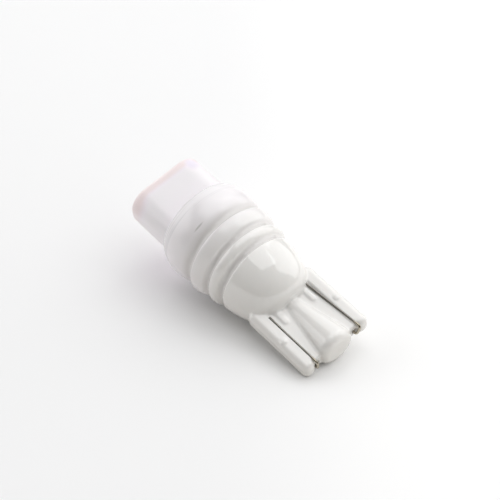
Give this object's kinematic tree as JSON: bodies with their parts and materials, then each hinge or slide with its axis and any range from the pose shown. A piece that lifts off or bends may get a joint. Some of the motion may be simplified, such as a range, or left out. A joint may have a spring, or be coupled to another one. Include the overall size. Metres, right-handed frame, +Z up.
{
  "type": "wedge base led bulb",
  "caption": "Small LED bulb with a glossy white ribbed ceramic body, a flat frosted lens and a wedge base with folded wire leads, lying on its side.",
  "frame": {"origin": "on the floor, under the middle of the lying bulb", "axes": "+Z up, -X towards the lens end of the bulb, +X towards its wedge base, with the axis rising 13 degrees to the lens"},
  "size_m": [0.0297, 0.012, 0.0127],
  "materials": {
    "glazed_ceramic": "glossy white glaze",
    "frosted_lens": "frosted translucent",
    "clear_adhesive": "clear silicone",
    "plated_wire": "drawn and plated",
    "board_laminate": "white solder mask",
    "tinned_copper": "tinned",
    "solder": "bright solder",
    "led_housing": "moulded white",
    "phosphor": "smooth silicone",
    "chip_ceramic": "black coated",
    "black_epoxy": "moulded black",
    "heat_compound": "grey silicone compound"
  },
  "bodies": {
    "root": {"ceramic_body": "glazed_ceramic", "lens": "frosted_lens", "lens_adhesive": "clear_adhesive", "lead_near": "plated_wire", "lead_far": "plated_wire", "led_board": "board_laminate", "board_lands": "tinned_copper", "solder_joints": "solder", "led_upper": "led_housing", "led_lower": "led_housing", "phosphor_upper": "phosphor", "phosphor_lower": "phosphor", "resistor_inner": "chip_ceramic", "resistor_outer": "chip_ceramic", "rectifier": "black_epoxy", "potting": "heat_compound"}
  },
  "joints": []
}
